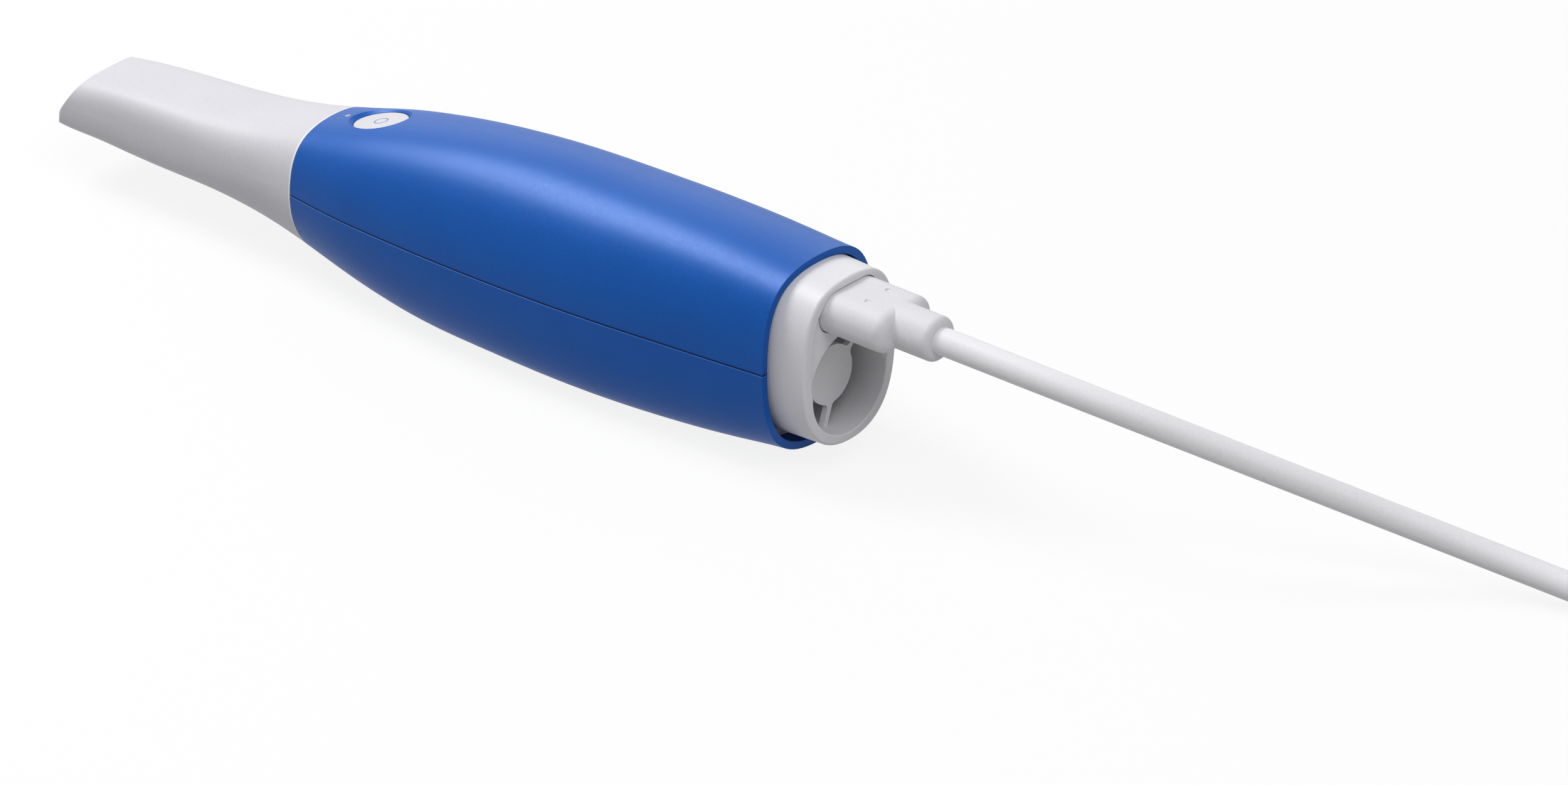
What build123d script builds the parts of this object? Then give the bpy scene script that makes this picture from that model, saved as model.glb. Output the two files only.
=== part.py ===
from build123d import *
import os
from functools import lru_cache
from math import atan2, cos, radians, sin, sqrt, tan
from typing import NamedTuple

# A hand-held intraoral scanner lying on its belly, with its button up and its lead plugged in.
# +X runs from the tip to the lead, +Z is up, and the table is at Z = 0. Sizes are in millimetres.

# Lengths along the scanner
TIP_LENGTH = 73.5
BODY_LENGTH = 139.8
CAP_PROUD = 9.2

# Walls and gaps
TIP_WALL = 1.6
HOUSING_WALL = 1.7
NOSE_WALL = 1.4
SEAM_GAP = 0.25
PARTING_GAP = 0.2
RUNNING_GAP = 0.05
FIT_GAP = 0.1
SLIDE_GAP = 0.4

# Height of the greatest width, which is also the parting line of the two housings
WAIST_FRONT = 18.9
WAIST_SEAM = 22.2
WAIST_REAR = 26.3
TONGUE_HEIGHT = 1.4
PARTING_CHAMFER = 0.15

# Even sections that the smooth outer form is lofted through
SKIN_SECTIONS = 20


class Section(NamedTuple):
    """One cross-section of the outer form, in a plane square to X.

    at is its place as a share of the length it belongs to. width, top and bottom are its extents.
    crown and keel say how full its upper and lower corners are: 0.55 is an ellipse, 1 a rectangle.
    """

    at: float
    width: float
    top: float
    bottom: float
    crown: float
    keel: float


# Sections of the tip, from its front to the seam, and of the body, from the seam to the rear rim
TIP_FORM = (
    Section(-0.02, 20.9, 25.1, 12.3, 0.80, 0.80),
    Section(0.20, 21.8, 27.6, 11.4, 0.875, 0.80),
    Section(0.45, 23.4, 29.3, 11.0, 0.855, 0.80),
    Section(0.70, 25.3, 31.3, 9.5, 0.80, 0.66),
    Section(0.89, 26.9, 34.3, 5.5, 0.75, 0.52),
)
BODY_FORM = (
    Section(0.00, 29.5, 36.4, 3.9, 0.72, 0.54),
    Section(0.10, 34.4, 40.5, 1.6, 0.69, 0.60),
    Section(0.23, 38.2, 44.8, -0.1, 0.65, 0.70),
    Section(0.43, 41.6, 48.7, -0.15, 0.62, 0.78),
    Section(0.63, 42.1, 49.8, -0.15, 0.64, 0.79),
    Section(0.81, 40.0, 49.9, 0.6, 0.69, 0.75),
    Section(1.00, 37.3, 48.7, 3.1, 0.745, 0.70),
)

# Tip: slanted end, mirror behind it and scan window under it
END_SETBACK = 9.7
END_HEIGHT = 14.7
END_ROUND = 1.65
END_CORNER_ROUND = 3.7
END_WALL = 1.6
MIRROR_THICKNESS = 1.1
MIRROR_WIDTH = 13.6
MIRROR_LENGTH = 10.6
MIRROR_RISE = 3.6
WINDOW_LENGTH = 11.0
WINDOW_WIDTH = 13.0
WINDOW_CORNER = 1.5
WINDOW_SETBACK = 3.2
STEP_LENGTH = 15.0
STEP_RISE = 1.2
STEP_RUN = 2.0

# Nose: the hollow snout that the tip slides over
NOSE_LENGTH = 45.0
NOSE_FLANGE = 2.6
NOSE_GLASS = 1.5
SEAL_SETBACK = 5.0
SEAL_WIDTH = 2.0
SEAL_DEPTH = 0.9
SEAL_GAP = 0.12

# Scan button, its dish and the switch below it
BUTTON_SETBACK = 13.8
BUTTON_TOP = 39.5
BUTTON_SLOPE = 15.5
BUTTON_LENGTH = 13.9
BUTTON_WIDTH = 10.8
BUTTON_DOME = 0.35
BUTTON_DEPTH = 2.6
BUTTON_TRAVEL = 0.4
BUTTON_LIP = 0.8
BUTTON_LIP_HEIGHT = 0.8
DISH_RIM = 1.2
DISH_DEPTH = 0.9
COLLAR_RIM = 3.0
STEM_RADIUS = 1.8
STEM_LENGTH = 0.6
PLUNGER_RADIUS = 1.0
PLUNGER_LENGTH = 1.2
SWITCH_SIZE = 4.5
SWITCH_HEIGHT = 1.8
BUTTON_BOARD_LENGTH = 12.0
BUTTON_BOARD_WIDTH = 19.0
BUTTON_BOARD_THICKNESS = 1.0
POST_RADIUS = 1.2
LIGHT_RADIUS = 0.7
LIGHT_SETBACK = 9.9

# Optics: a projector between two cameras on one machined frame
FRAME_SETBACK = 6.0
FRAME_PLATE = 3.0
FRAME_LENGTH = 76.0
FRAME_WIDTH = 15.0
FRAME_HEIGHT = 9.0
FRAME_FACE_HEIGHT = 19.9
FRAME_FACE_WIDTH = 23.0
PROJECTOR_RADIUS = 5.5
PROJECTOR_LENGTH = 34.0
PROJECTOR_LIFT = 6.0
CAMERA_RADIUS = 3.5
CAMERA_LENGTH = 20.0
CAMERA_SPREAD = 7.4
CAMERA_LIFT = 12.6
BARREL_WALL = 0.9
BARREL_PROUD = 2.5
LENS_THICKNESS = 2.0
SENSOR_SIZE = 6.0
SENSOR_THICKNESS = 1.2
SLIDE_SIZE = 10.0
SLIDE_THICKNESS = 1.0
LED_SPACE = 5.0
LED_RADIUS = 2.4
LED_BOARD_SIZE = 14.0
LED_BOARD_THICKNESS = 1.6
SINK_WIDTH = 15.0
SINK_HEIGHT = 20.0
SINK_BASE = 4.0
FIN_LENGTH = 20.0
FIN_THICKNESS = 1.2
FIN_COUNT = 6
BOSS_RADIUS = 2.2
FRAME_SCREW_SPREAD = 5.0
FRAME_SCREW_FRONT = 10.0
FRAME_SCREW_REAR = 70.0
SCREW_RADIUS = 0.9
SCREW_HEAD_RADIUS = 1.9
SCREW_HEAD_HEIGHT = 1.3
SCREW_BITE = 4.0

# Main board with its processor and socket
BOARD_FRONT = 44.0
BOARD_WIDTH = 22.0
BOARD_THICKNESS = 1.6
BOARD_TAIL_WIDTH = 12.0
BOARD_SCREW_SPREAD = 8.5
BOARD_SCREW_INSET = 4.0
CHIP_SIZE = 12.0
CHIP_HEIGHT = 1.6
SOCKET_WIDTH = 9.2
SOCKET_HEIGHT = 3.4
SOCKET_LENGTH = 7.4
SOCKET_TONGUE = 0.7

# Rear cap: the collar round the air outlet and the plug
CAP_WIDTH = 30.6
CAP_TOP = 46.6
CAP_BOTTOM = 6.5
CAP_CROWN = 0.76
CAP_KEEL = 0.66
CAP_DRAFT = 0.3
CAP_INSIDE = 8.0
CAP_FLANGE = 2.0
CAP_LIP = 1.9
CAP_LIP_DEPTH = 1.0
CAP_ROUND = 0.6
LIP_ROUND = 0.35
MOUTH_SIDE = 2.6
MOUTH_FOOT = 1.0
MOUTH_KEEL = 0.56
DUCT_RADIUS = 12.2
DUCT_HEIGHT = 20.8
GUARD_SETBACK = 5.4
GUARD_THICKNESS = 1.4
GUARD_RADIUS = 7.0
SPOKE_WIDTH = 1.3
SPOKE_ANGLES = (47.5, 149.0, 251.0)
SPOKE_OFFSET = 2.2
POCKET_DEPTH = 6.4
POCKET_WALL = 1.6

# Cooling fan
FAN_DEPTH = 7.0
FAN_BORE_RADIUS = 11.6
FAN_RIM = 0.9
FAN_HUB_RADIUS = 5.4
FAN_BLADE_COUNT = 7
FAN_BLADE_GAP = 0.4
FAN_BLADE_THICKNESS = 0.8
FAN_BLADE_CHORD = 5.2
FAN_ROOT_PITCH = 48.0
FAN_TIP_PITCH = 32.0
FAN_STRUT = 1.4
FAN_MOTOR_DEPTH = 1.6
FAN_SHAFT_RADIUS = 0.8
FAN_SCREW_INSET = 2.3

# Lead: plug, cable and coil
PLUG_HEIGHT = 39.7
PLUG_WIDTH = 18.2
PLUG_DEPTH = 9.8
PLUG_CORNER = 4.5
PLUG_LENGTH = 16.4
PLUG_ROUND = 2.6
PLUG_GAP = 0.25
PLUG_DIMPLE_RADIUS = 0.8
PLUG_DIMPLE_SPREAD = 3.4
PLUG_DIMPLE_SETBACK = 8.5
BARREL_RADIUS = 5.25
BARREL_LENGTH = 9.6
BARREL_ROUND = 1.6
SHELL_WIDTH = 8.3
SHELL_DEPTH = 2.5
SHELL_LENGTH = 6.6
SHELL_WALL = 0.35
CABLE_RADIUS = 3.2
LEAD_SWAY = 1.482
LEAD_RUNS = ((0, 0), (34, 0), (72, 0.38), (110, 0.82), (147, 1), (254, 1))
COIL_PITCH = 6.6
COIL_OUTER = 49.2
COIL_TURNS = 3.14
COIL_EDGE = 2.8
TIE_THICKNESS = 0.7
HUB_PLUG_LENGTH = 20.0
TAIL_RUNS = ((48.3, -9.2, 0), (43.4, -23.1, 0.2), (30, -37, 0.85), (8, -40, 1))
BEND_SHARE = 0.45

# Places worked out from the sizes above
X_FRONT = -(TIP_LENGTH + BODY_LENGTH + CAP_PROUD) / 2
X_SEAM = X_FRONT + TIP_LENGTH
X_REAR = X_SEAM + BODY_LENGTH
X_CAP = X_REAR + CAP_PROUD
NOSE_INSET = TIP_WALL + SLIDE_GAP

# A size larger than the whole scanner, for cutters that pass right through it
FAR = 500.0


def waist_height(x):
    """Height of the greatest width at x: two straight lines that meet at the seam."""
    if x < X_SEAM:
        share = (x - X_FRONT) / TIP_LENGTH
        return WAIST_FRONT + share * (WAIST_SEAM - WAIST_FRONT)
    share = (x - X_SEAM) / BODY_LENGTH
    return WAIST_SEAM + share * (WAIST_REAR - WAIST_SEAM)


def section_wire(x, form, inset=0.0):
    """Closed wire of four curves, one for each quarter of the section, drawn in by inset."""
    half = form.width / 2 - inset
    waist = waist_height(x)

    def quarter(side, end, fullness):
        reach = end - waist
        return Bezier(
            (x, side * half, waist),
            (x, side * half, waist + fullness * reach),
            (x, side * half * fullness, end),
            (x, 0, end),
        )

    top, bottom = form.top - inset, form.bottom + inset
    return Wire(
        [
            quarter(1, top, form.crown),
            quarter(-1, top, form.crown),
            quarter(-1, bottom, form.keel),
            quarter(1, bottom, form.keel),
        ]
    )


FORM_PLACES = [X_FRONT + s.at * TIP_LENGTH for s in TIP_FORM]
FORM_PLACES += [X_SEAM + s.at * BODY_LENGTH for s in BODY_FORM]
FORM_SECTIONS = TIP_FORM + BODY_FORM


def smooth(x, places, values):
    """Value at x on a smooth curve through the given places: a cubic between each two neighbours."""
    last = len(places) - 1

    def rise(n):
        return (values[n + 1] - values[n]) / (places[n + 1] - places[n])

    def slope(n):
        if n in (0, last):
            return rise(min(n, last - 1))
        left, right = places[n] - places[n - 1], places[n + 1] - places[n]
        return (rise(n - 1) * right + rise(n) * left) / (left + right)

    n = max(k for k in range(last) if k == 0 or places[k] <= x)
    step = places[n + 1] - places[n]
    t = (x - places[n]) / step
    return (
        (1 + 2 * t) * (1 - t) ** 2 * values[n]
        + t * (1 - t) ** 2 * step * slope(n)
        + t**2 * (3 - 2 * t) * values[n + 1]
        - t**2 * (1 - t) * step * slope(n + 1)
    )


def form_at(x):
    """The outer form's section at x, blended between the sections that are set out above."""
    return Section(*(smooth(x, FORM_PLACES, values) for values in zip(*FORM_SECTIONS)))


@lru_cache(maxsize=None)
def skin(inset=0.0):
    """The whole outer form from tip to rear rim as one smooth solid, drawn in by inset."""
    start, end = FORM_PLACES[0], FORM_PLACES[-1]
    places = [start + (end - start) * n / (SKIN_SECTIONS - 1) for n in range(SKIN_SECTIONS)]
    return Solid.make_loft([section_wire(x, form_at(x), inset) for x in places])


def slab(start, end):
    """Everything between two planes square to X."""
    return Pos((start + end) / 2, 0, 0) * Box(end - start, FAR, FAR)


def skin_between(start, end, inset=0.0):
    return skin(inset) & slab(start, end)


def facing_rear(x, y, z):
    """Plane square to X, with Y to its right and Z upwards."""
    return Plane(origin=(x, y, z), x_dir=(0, 1, 0), z_dir=(1, 0, 0))


def rod(x, y, z, radius, length):
    """Round bar along +X."""
    return extrude(facing_rear(x, y, z) * Circle(radius), length)


def block(start, end, width, low, high):
    """Plain block centred on the scanner's middle plane."""
    return Pos((start + end) / 2, 0, (low + high) / 2) * Box(end - start, width, high - low)


def first_solid(shape):
    """The largest solid of a shape, as one part."""
    return max(shape.solids(), key=lambda solid: solid.volume)


# Tip


END_LEAN = atan2(END_HEIGHT, END_SETBACK)
STEP_TOP = TIP_FORM[1].bottom + STEP_RISE
END_CORNER = X_FRONT + END_ROUND * (1 - 1 / tan(END_LEAN / 2))


def end_plane(depth=0.0):
    """Plane of the tip's slanted end, moved inwards by depth. It faces forwards and up."""
    normal = Vector(-sin(END_LEAN), 0, cos(END_LEAN))
    return Plane(origin=Vector(END_CORNER, 0, STEP_TOP) - normal * depth, z_dir=normal)


def tip_profile():
    """Side view of the tip: slanted end, rounded foot, and the raised floor round the scan window."""
    step_rear = X_FRONT + STEP_LENGTH
    outline = make_face(
        Polyline(
            (step_rear + STEP_RUN, 0, 0),
            (step_rear, 0, STEP_TOP),
            (END_CORNER, 0, STEP_TOP),
            (END_CORNER + 3 * END_SETBACK, 0, STEP_TOP + 3 * END_HEIGHT),
            (X_SEAM, 0, STEP_TOP + 3 * END_HEIGHT),
            (X_SEAM, 0, 0),
            close=True,
        )
    )
    return fillet(outline.vertices().sort_by(Axis.X)[0], END_ROUND)


def tip_plan():
    """Top view of the tip: wider than the tip itself, except at its rounded front corners."""
    front, rear = TIP_FORM[0].width / 2, BODY_FORM[0].width / 2 + TIP_WALL
    outline = make_face(
        Polyline((X_FRONT, -front), (X_FRONT, front), (X_SEAM, rear), (X_SEAM, -rear), close=True)
    )
    return fillet(outline.vertices().sort_by(Axis.X)[:2], END_CORNER_ROUND)


def tip_sleeve():
    hollow = split(
        skin(TIP_WALL) & slab(X_FRONT + END_WALL, X_SEAM), bisect_by=end_plane(END_WALL), keep=Keep.BOTTOM
    )
    start = X_FRONT + WINDOW_SETBACK
    window = RectangleRounded(WINDOW_LENGTH, WINDOW_WIDTH, WINDOW_CORNER)
    window = Pos(start + WINDOW_LENGTH / 2, 0, 0) * window
    sleeve = skin() & slab(X_FRONT - FAR, X_SEAM - SEAM_GAP)
    sleeve = sleeve - hollow - extrude(window, waist_height(start))
    envelope = extrude(tip_profile(), FAR / 2, both=True, dir=(0, 1, 0)) & extrude(tip_plan(), FAR)
    return first_solid(sleeve & envelope)


def tip_mirror():
    plane = end_plane(END_WALL)
    across = MIRROR_RISE + MIRROR_LENGTH / 2
    centre = Vector(END_CORNER, 0, STEP_TOP) + Vector(cos(END_LEAN), 0, sin(END_LEAN)) * across
    centre = plane.to_local_coords(centre)
    face = plane * Pos(centre.X, centre.Y) * RectangleRounded(MIRROR_LENGTH, MIRROR_WIDTH, WINDOW_CORNER)
    return extrude(face, -MIRROR_THICKNESS)


# Nose


def nose():
    front = X_SEAM - NOSE_LENGTH
    snout = skin_between(front, X_SEAM, NOSE_INSET)
    flange = skin_between(X_SEAM, X_SEAM + NOSE_FLANGE, HOUSING_WALL + FIT_GAP)
    tunnel = skin_between(front, X_SEAM + NOSE_FLANGE, NOSE_INSET + NOSE_WALL)
    return first_solid(snout + flange - tunnel - seal_ring(SEAL_DEPTH, 0.0))


def seal_ring(depth, stand):
    """Ring of the snout's own section, from depth under the snout's face to stand above it."""
    start = X_SEAM - SEAL_SETBACK - SEAL_WIDTH
    ring = skin_between(start, start + SEAL_WIDTH, NOSE_INSET - stand)
    return ring - skin_between(start, start + SEAL_WIDTH, NOSE_INSET + depth)


def nose_window():
    front = X_SEAM - NOSE_LENGTH
    return skin_between(front, front + NOSE_GLASS, NOSE_INSET + NOSE_WALL + RUNNING_GAP)


# Button, switch and status light

BUTTON = Plane(
    origin=(X_SEAM + BUTTON_SETBACK, 0, BUTTON_TOP),
    x_dir=(cos(radians(BUTTON_SLOPE)), 0, sin(radians(BUTTON_SLOPE))),
    z_dir=(-sin(radians(BUTTON_SLOPE)), 0, cos(radians(BUTTON_SLOPE))),
)
LIP_FLOOR = -BUTTON_DEPTH - BUTTON_LIP_HEIGHT
STEM_FLOOR = LIP_FLOOR - STEM_LENGTH
SWITCH_TOP = STEM_FLOOR - BUTTON_TRAVEL - FIT_GAP
BUTTON_BOARD_TOP = SWITCH_TOP - SWITCH_HEIGHT
POST_PLACE = BUTTON_WIDTH / 2 + BUTTON_LIP + POST_RADIUS + SLIDE_GAP


def oval(extra, low, high):
    """Oval block square to the button's face, wider than the button by extra all round."""
    face = BUTTON.offset(low) * Ellipse(BUTTON_LENGTH / 2 + extra, BUTTON_WIDTH / 2 + extra)
    return extrude(face, high - low)


def pin_below(x, y, radius, low, high):
    """Round pin square to the button's face."""
    return extrude(BUTTON.offset(low) * Pos(x, y) * Circle(radius), high - low)


def scan_button():
    cap = oval(0, -BUTTON_DEPTH, 0)
    rim = cap.edges().group_by(Axis((0, 0, 0), BUTTON.z_dir))[-1]
    cap = fillet(rim, BUTTON_DOME)
    lip = oval(BUTTON_LIP, LIP_FLOOR, -BUTTON_DEPTH)
    return cap + lip + pin_below(0, 0, STEM_RADIUS, STEM_FLOOR, LIP_FLOOR)


def switch_plunger():
    return pin_below(0, 0, PLUNGER_RADIUS, STEM_FLOOR - PLUNGER_LENGTH, STEM_FLOOR)


def button_switch():
    case = extrude(BUTTON.offset(BUTTON_BOARD_TOP) * Rectangle(SWITCH_SIZE, SWITCH_SIZE), SWITCH_HEIGHT)
    well_floor = STEM_FLOOR - PLUNGER_LENGTH - BUTTON_TRAVEL - FIT_GAP
    return case - pin_below(0, 0, PLUNGER_RADIUS + RUNNING_GAP, well_floor, SWITCH_TOP)


def button_board():
    tongue = LIGHT_SETBACK + 2 * LIGHT_RADIUS
    outline = Rectangle(BUTTON_BOARD_LENGTH, BUTTON_BOARD_WIDTH)
    outline += Pos(-tongue / 2, 0) * Rectangle(tongue, SWITCH_SIZE)
    return extrude(BUTTON.offset(BUTTON_BOARD_TOP) * outline, -BUTTON_BOARD_THICKNESS)


def status_light():
    pipe = pin_below(-LIGHT_SETBACK, 0, LIGHT_RADIUS, BUTTON_BOARD_TOP, BUTTON_DEPTH)
    return first_solid(pipe & skin())


def button_cutters():
    """What the upper housing gives up for the button: its dish, its hole and the light's hole."""
    rim = DISH_RIM / DISH_DEPTH
    dish = Solid.make_loft(
        [
            Wire((BUTTON.offset(z) * Ellipse(BUTTON_LENGTH / 2 + e, BUTTON_WIDTH / 2 + e)).edges())
            for z, e in ((0, FIT_GAP), (BUTTON_DEPTH, FIT_GAP + rim * BUTTON_DEPTH))
        ]
    )
    hole = oval(FIT_GAP, LIP_FLOOR, BUTTON_DEPTH)
    light = pin_below(-LIGHT_SETBACK, 0, LIGHT_RADIUS + RUNNING_GAP, BUTTON_BOARD_TOP, BUTTON_DEPTH)
    return dish, hole, light


# Housings


def parting_plane(lift=0.0):
    """Sloped plane of the parting line, raised by lift. It faces up."""
    slope = atan2(WAIST_REAR - WAIST_SEAM, BODY_LENGTH)
    return Plane(origin=(X_SEAM, 0, WAIST_SEAM + lift), z_dir=(-sin(slope), 0, cos(slope)))


def above(shape, lift):
    return split(shape, bisect_by=parting_plane(lift), keep=Keep.TOP)


def below(shape, lift):
    return split(shape, bisect_by=parting_plane(lift), keep=Keep.BOTTOM)


def tongue(extra):
    """Inner half of the wall, standing up from the lower housing behind the upper one."""
    band = skin_between(X_SEAM, X_REAR, HOUSING_WALL / 2 - extra) - skin(HOUSING_WALL - RUNNING_GAP)
    return below(above(band, -TONGUE_HEIGHT), TONGUE_HEIGHT + extra)


def boss(x, y, low, high):
    return Pos(x, y, low) * Cylinder(BOSS_RADIUS, high - low, align=(Align.CENTER, Align.CENTER, Align.MIN))


def pilot(x, y, low, high):
    hole = Cylinder(SCREW_RADIUS + RUNNING_GAP, high - low, align=(Align.CENTER, Align.CENTER, Align.MIN))
    return Pos(x, y, low) * hole


FRAME_SCREWS = [
    (X_SEAM + FRAME_SETBACK + x, y)
    for x in (FRAME_SCREW_FRONT, FRAME_SCREW_REAR)
    for y in (-FRAME_SCREW_SPREAD, FRAME_SCREW_SPREAD)
]
BOARD_TOP = PLUG_HEIGHT - SOCKET_HEIGHT / 2
BOARD_START = X_SEAM + BOARD_FRONT
FAN_FRONT = X_REAR - CAP_INSIDE - FAN_DEPTH
BOARD_SCREWS = [
    (x, y)
    for x in (BOARD_START + BOARD_SCREW_INSET, FAN_FRONT - BOARD_SCREW_INSET)
    for y in (-BOARD_SCREW_SPREAD, BOARD_SCREW_SPREAD)
]


def upper_housing():
    shell = above(skin_between(X_SEAM, X_REAR) - skin(HOUSING_WALL), PARTING_GAP / 2)
    inside = skin(HOUSING_WALL / 2)
    collar = oval(COLLAR_RIM, -BUTTON_DEPTH + FIT_GAP, BUTTON_DEPTH) & inside
    shell += collar
    for y in (-POST_PLACE, POST_PLACE):
        shell += pin_below(0, y, POST_RADIUS, BUTTON_BOARD_TOP, BUTTON_DEPTH) & inside
    for x, y in BOARD_SCREWS:
        shell += boss(x, y, BOARD_TOP, BOARD_TOP + BODY_LENGTH) & inside
    for cutter in button_cutters():
        shell -= cutter
    for x, y in BOARD_SCREWS:
        shell -= pilot(x, y, BOARD_TOP, BOARD_TOP + SCREW_BITE)
    return first_solid(shell - tongue(FIT_GAP))


def lower_housing():
    shell = below(skin_between(X_SEAM, X_REAR) - skin(HOUSING_WALL), -PARTING_GAP / 2)
    shell += tongue(0.0)
    inside = skin(HOUSING_WALL / 2)
    for x, y in FRAME_SCREWS:
        shell += boss(x, y, -HOUSING_WALL, FRAME_HEIGHT) & inside
        shell -= pilot(x, y, FRAME_HEIGHT - SCREW_BITE, FRAME_HEIGHT)
    belly_cut = block(X_SEAM, X_REAR, FAR, -FAR, 0)
    shell = first_solid(shell - belly_cut)
    rims = parting_plane(-PARTING_GAP / 2)
    edges = [edge for edge in shell.edges() if edge.length > BODY_LENGTH / 2]
    edges = [edge for edge in edges if abs(rims.to_local_coords(edge.center()).Z) < RUNNING_GAP]
    outer = sorted(edges, key=lambda edge: abs(edge.center().Y))[-2:]
    return chamfer(outer, PARTING_CHAMFER)


# Optics

FRAME_X = X_SEAM + FRAME_SETBACK
FRAME_TOP = FRAME_HEIGHT + FRAME_PLATE
BARREL_X = FRAME_X - BARREL_PROUD
PROJECTOR_Z = FRAME_TOP + PROJECTOR_LIFT
CAMERA_Z = FRAME_TOP + CAMERA_LIFT
SLIDE_X = BARREL_X + PROJECTOR_LENGTH
LED_BOARD_X = SLIDE_X + SLIDE_THICKNESS + LED_SPACE
SINK_X = LED_BOARD_X + LED_BOARD_THICKNESS
CAMERA_SIDES = {"left": -CAMERA_SPREAD, "right": CAMERA_SPREAD}


def optics_frame():
    face_top = FRAME_HEIGHT + FRAME_FACE_HEIGHT
    base = block(FRAME_X, FRAME_X + FRAME_LENGTH, FRAME_WIDTH, FRAME_HEIGHT, FRAME_TOP)
    face = block(FRAME_X, FRAME_X + FRAME_PLATE, FRAME_FACE_WIDTH, FRAME_HEIGHT, face_top)
    face &= skin(HOUSING_WALL + SLIDE_GAP)
    frame = base + face
    frame -= rod(BARREL_X, 0, PROJECTOR_Z, PROJECTOR_RADIUS + RUNNING_GAP, PROJECTOR_LENGTH)
    for y in CAMERA_SIDES.values():
        frame -= rod(BARREL_X, y, CAMERA_Z, CAMERA_RADIUS + RUNNING_GAP, CAMERA_LENGTH)
    for x, y in FRAME_SCREWS:
        frame -= pilot(x, y, FRAME_HEIGHT, FRAME_TOP)
    return first_solid(frame)


def barrel(y, z, radius, length):
    """Lens tube with a shoulder behind its front glass."""
    tube = rod(BARREL_X, y, z, radius, length) - rod(BARREL_X, y, z, radius - 2 * BARREL_WALL, length)
    return tube - rod(BARREL_X, y, z, radius - BARREL_WALL, LENS_THICKNESS)


def lens(y, z, radius):
    """Front glass, flat behind and bulging forwards, seated on the tube's shoulder."""
    rim = radius - BARREL_WALL - RUNNING_GAP
    front, edge, back = BARREL_X + RUNNING_GAP, BARREL_X + LENS_THICKNESS / 2, BARREL_X + LENS_THICKNESS
    bulge = edge - front
    ball = (rim**2 + bulge**2) / (2 * bulge)
    half = atan2(rim, ball - bulge) / 2
    crest = ThreePointArc((front, 0), (front + ball * (1 - cos(half)), ball * sin(half)), (edge, rim))
    outline = make_face([crest, Polyline((edge, rim), (back, rim), (back, 0), (front, 0))])
    return Pos(0, y, z) * revolve(outline, Axis.X)


def sensor_board(y):
    x = BARREL_X + CAMERA_LENGTH
    return Pos(x + SENSOR_THICKNESS / 2, y, CAMERA_Z) * Box(SENSOR_THICKNESS, SENSOR_SIZE, SENSOR_SIZE)


def pattern_slide():
    return Pos(SLIDE_X + SLIDE_THICKNESS / 2, 0, PROJECTOR_Z) * Box(SLIDE_THICKNESS, SLIDE_SIZE, SLIDE_SIZE)


def led_board():
    low = FRAME_TOP
    return block(LED_BOARD_X, SINK_X, LED_BOARD_SIZE, low, low + LED_BOARD_SIZE)


def led_dome():
    ball = Pos(LED_BOARD_X, 0, PROJECTOR_Z) * Sphere(LED_RADIUS)
    return ball & slab(LED_BOARD_X - LED_RADIUS, LED_BOARD_X)


def heat_sink():
    top = FRAME_TOP + SINK_HEIGHT
    fins_start = SINK_X + SINK_BASE
    base = block(SINK_X, fins_start, SINK_WIDTH, FRAME_TOP, top)
    pitch = (SINK_WIDTH - FIN_THICKNESS) / (FIN_COUNT - 1)
    fin = block(fins_start, fins_start + FIN_LENGTH, FIN_THICKNESS, FRAME_TOP, top)
    for n in range(FIN_COUNT):
        base += Pos(0, (n - (FIN_COUNT - 1) / 2) * pitch, 0) * fin
    return base


def screw(x, y, seat, up):
    """Pan-head screw whose head sits on the plane z = seat, with its shank on the side away from up."""
    head = Cylinder(SCREW_HEAD_RADIUS, SCREW_HEAD_HEIGHT, align=(Align.CENTER, Align.CENTER, Align.MIN))
    head = fillet(head.edges().sort_by(Axis.Z)[-1], SCREW_HEAD_HEIGHT / 2)
    shank = Cylinder(SCREW_RADIUS, SCREW_BITE, align=(Align.CENTER, Align.CENTER, Align.MAX))
    whole = head + shank
    return Pos(x, y, seat) * (whole if up else Rot(180, 0, 0) * whole)


def frame_screws():
    return Compound([first_solid(screw(x, y, FRAME_TOP, True)) for x, y in FRAME_SCREWS])


# Boards and socket

BOARD_LOW = BOARD_TOP - BOARD_THICKNESS
POCKET_X = X_CAP - CAP_LIP_DEPTH - POCKET_DEPTH
SOCKET_X = POCKET_X - POCKET_WALL


def main_board():
    wide = block(BOARD_START, FAN_FRONT, BOARD_WIDTH, BOARD_LOW, BOARD_TOP)
    tail = block(FAN_FRONT, SOCKET_X, BOARD_TAIL_WIDTH, BOARD_LOW, BOARD_TOP)
    board = wide + tail
    for x, y in BOARD_SCREWS:
        board -= pilot(x, y, BOARD_LOW, BOARD_TOP)
    return board


def processor():
    start = (BOARD_START + FAN_FRONT - CHIP_SIZE) / 2
    return block(start, start + CHIP_SIZE, CHIP_SIZE, BOARD_TOP, BOARD_TOP + CHIP_HEIGHT)


def board_screws():
    return Compound([first_solid(screw(x, y, BOARD_LOW, False)) for x, y in BOARD_SCREWS])


def slot_bar(start, end, width, depth):
    """Bar along X with a slot-shaped section, at the plug's height."""
    face = facing_rear(start, 0, PLUG_HEIGHT) * RectangleRounded(width, depth, depth / 2 - RUNNING_GAP)
    return extrude(face, end - start)


def usb_socket():
    start = SOCKET_X - SOCKET_LENGTH
    can = block(start, SOCKET_X, SOCKET_WIDTH, BOARD_TOP, BOARD_TOP + SOCKET_HEIGHT)
    room = 2 * RUNNING_GAP
    mouth = slot_bar(SOCKET_X - SHELL_LENGTH, SOCKET_X, SHELL_WIDTH + room, SHELL_DEPTH + room)
    blade = Box(SHELL_LENGTH, SHELL_WIDTH - SHELL_DEPTH, SOCKET_TONGUE)
    return can - mouth + Pos(SOCKET_X - SHELL_LENGTH / 2, 0, PLUG_HEIGHT) * blade


# Rear cap


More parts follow.
